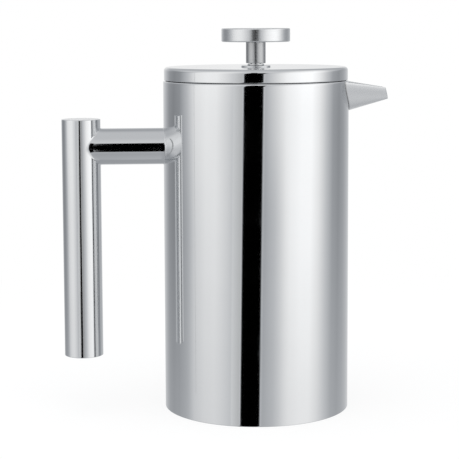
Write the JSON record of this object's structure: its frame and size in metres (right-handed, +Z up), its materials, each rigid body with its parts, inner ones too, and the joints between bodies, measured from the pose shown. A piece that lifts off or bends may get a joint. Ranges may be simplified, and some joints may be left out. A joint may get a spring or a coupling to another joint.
{
  "type": "french press",
  "caption": "Double-walled steel coffee press: cylindrical pot with a beak spout and tubular side handle, lift-off lid, and a rod plunger with a stacked disc filter.",
  "frame": {"origin": "on the pot's axis, on the flat underside of the base plate", "axes": "+Z up along the pot's axis, +X towards the spout, -X towards the handle"},
  "size_m": [0.1846, 0.1044, 0.215],
  "materials": {
    "satin_steel": "satin, near mirror",
    "brushed_inside_steel": "brushed",
    "polished_steel": "polished",
    "spring_wire": "drawn wire",
    "woven_mesh": "fine woven wire"
  },
  "bodies": {
    "pot": {"outer_shell": "satin_steel", "inner_liner": "brushed_inside_steel", "base_plate": "satin_steel", "spout": "satin_steel", "spout_throat": "brushed_inside_steel", "handle_arm": "satin_steel", "handle_grip": "satin_steel", "grip_top_cap": "satin_steel", "grip_bottom_cap": "satin_steel"},
    "lid": {"lid_cover": "satin_steel", "lid_liner": "brushed_inside_steel", "guide_bush": "polished_steel", "bush_nut": "brushed_inside_steel"},
    "plunger": {"plunger_knob": "satin_steel", "knob_neck": "satin_steel", "plunger_rod": "polished_steel", "rod_collar": "polished_steel"},
    "filter": {"filter_top_plate": "brushed_inside_steel", "filter_edge_spring": "spring_wire", "filter_screen": "woven_mesh", "filter_cross_plate": "brushed_inside_steel", "filter_hub": "polished_steel"}
  },
  "joints": [
    {"name": "lid_lift", "type": "slide", "parent": "pot", "child": "lid", "axis": [0, 0, 1], "range_m": [0, 0.2]},
    {"name": "plunger_slide", "type": "slide", "parent": "lid", "child": "plunger", "axis": [0, 0, 1], "range_m": [0, 0.15]},
    {"name": "filter_turn", "type": "hinge", "parent": "plunger", "child": "filter", "pos_m": [0, 0, 0.015], "axis": [0, 0, 1], "continuous": true}
  ]
}
